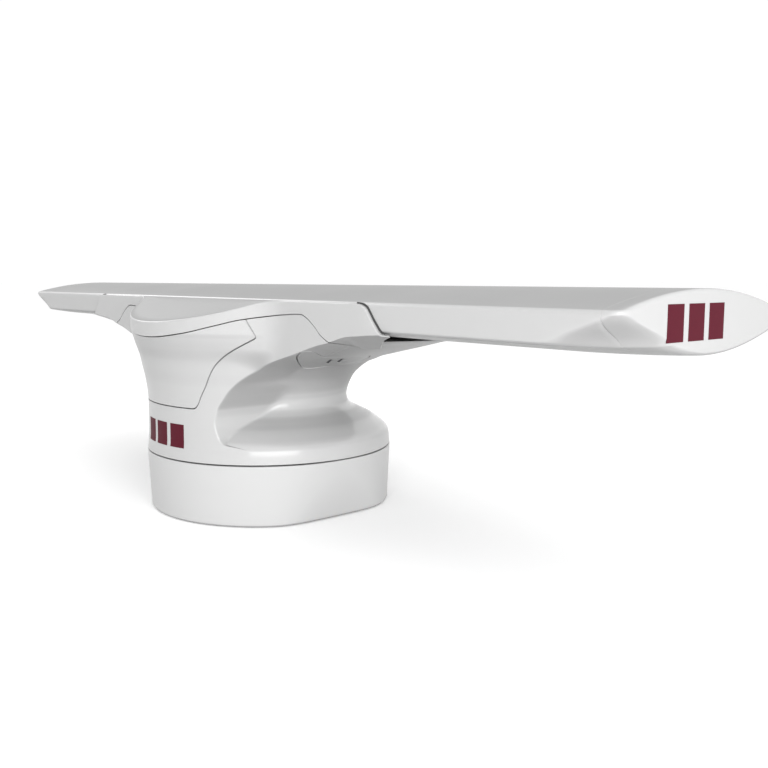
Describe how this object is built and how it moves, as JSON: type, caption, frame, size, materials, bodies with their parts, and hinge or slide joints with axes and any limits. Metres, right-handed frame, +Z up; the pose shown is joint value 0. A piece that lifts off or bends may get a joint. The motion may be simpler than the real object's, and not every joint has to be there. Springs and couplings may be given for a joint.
{
  "type": "open-array marine radar scanner",
  "caption": "Open-array marine radar scanner: long lens-section antenna bar on a sculpted head that turns on a drafted round base, with a rocker switch at the back.",
  "frame": {"origin": "where the turning axis meets the plane that the base stands on", "axes": "+X along the antenna bar, +Z up the turning axis, -Y the side that the antenna radiates from"},
  "size_m": [1.32, 0.384, 0.309],
  "materials": {
    "white_painted_aluminium": "gloss",
    "white_gelcoat": "gloss",
    "black_rubber": "matte",
    "green_board": "satin",
    "black_plastic": "satin",
    "bare_aluminium": "satin",
    "brass": "satin",
    "steel": "satin"
  },
  "bodies": {
    "pedestal": {"base_casing": "white_painted_aluminium", "base_deck": "white_painted_aluminium", "deck_seal": "black_rubber", "deck_screws": "steel", "bearing_outer_race": "steel", "bearing_balls": "steel", "bearing_retainer": "steel", "retainer_screws": "steel", "rotary_seal": "black_rubber", "drive_motor": "bare_aluminium", "motor_clamp": "bare_aluminium", "motor_screws": "steel", "slip_ring_stator": "black_plastic", "board_standoffs": "black_plastic", "power_board": "green_board", "board_screws": "steel", "zero_mark_sensor": "black_plastic", "cable_gland": "black_plastic", "gland_nut": "black_plastic", "switch_bezel": "black_plastic"},
    "motor_rotor": {"motor_shaft": "steel", "motor_pinion": "steel"},
    "rocker": {"standby_rocker": "black_plastic"},
    "head": {"bearing_inner_race": "steel", "ring_gear": "steel", "gear_spacer": "bare_aluminium", "shaft_lock_nut": "steel", "slip_ring_rotor": "black_plastic", "main_shaft": "steel", "shaft_screws": "steel", "head_floor": "bare_aluminium", "support_column": "bare_aluminium", "column_screws": "steel", "cradle_screws": "steel", "transceiver_feet": "bare_aluminium", "transceiver_case": "bare_aluminium", "transceiver_lid": "bare_aluminium", "feed_waveguide": "brass", "signal_board": "green_board", "array_radome": "white_gelcoat", "end_cap_right": "white_gelcoat", "end_cap_left": "white_gelcoat", "array_spine": "bare_aluminium", "radiator_panel": "bare_aluminium", "absorber_foam": "black_plastic", "array_feed_block": "bare_aluminium", "array_bolts": "steel", "front_cover": "white_gelcoat", "underside_hatch_right": "white_gelcoat", "underside_hatch_left": "white_gelcoat", "head_housing": "white_gelcoat", "hub_cradle": "white_gelcoat"}
  },
  "joints": [
    {"name": "head_turn", "type": "hinge", "parent": "pedestal", "child": "head", "pos_m": [0, 0, 0], "axis": [0, 0, 1], "continuous": true},
    {"name": "motor_spin", "type": "hinge", "parent": "pedestal", "child": "motor_rotor", "pos_m": [0, -0.084, 0.03], "axis": [0, 0, 1], "continuous": true},
    {"name": "standby_rock", "type": "hinge", "parent": "pedestal", "child": "rocker", "pos_m": [0, 0.167, 0.042], "axis": [1, 0, 0], "range_deg": [-12, 12]}
  ],
  "couplings": [
    {"joint": "motor_spin", "follows": "head_turn", "ratio": -6}
  ]
}
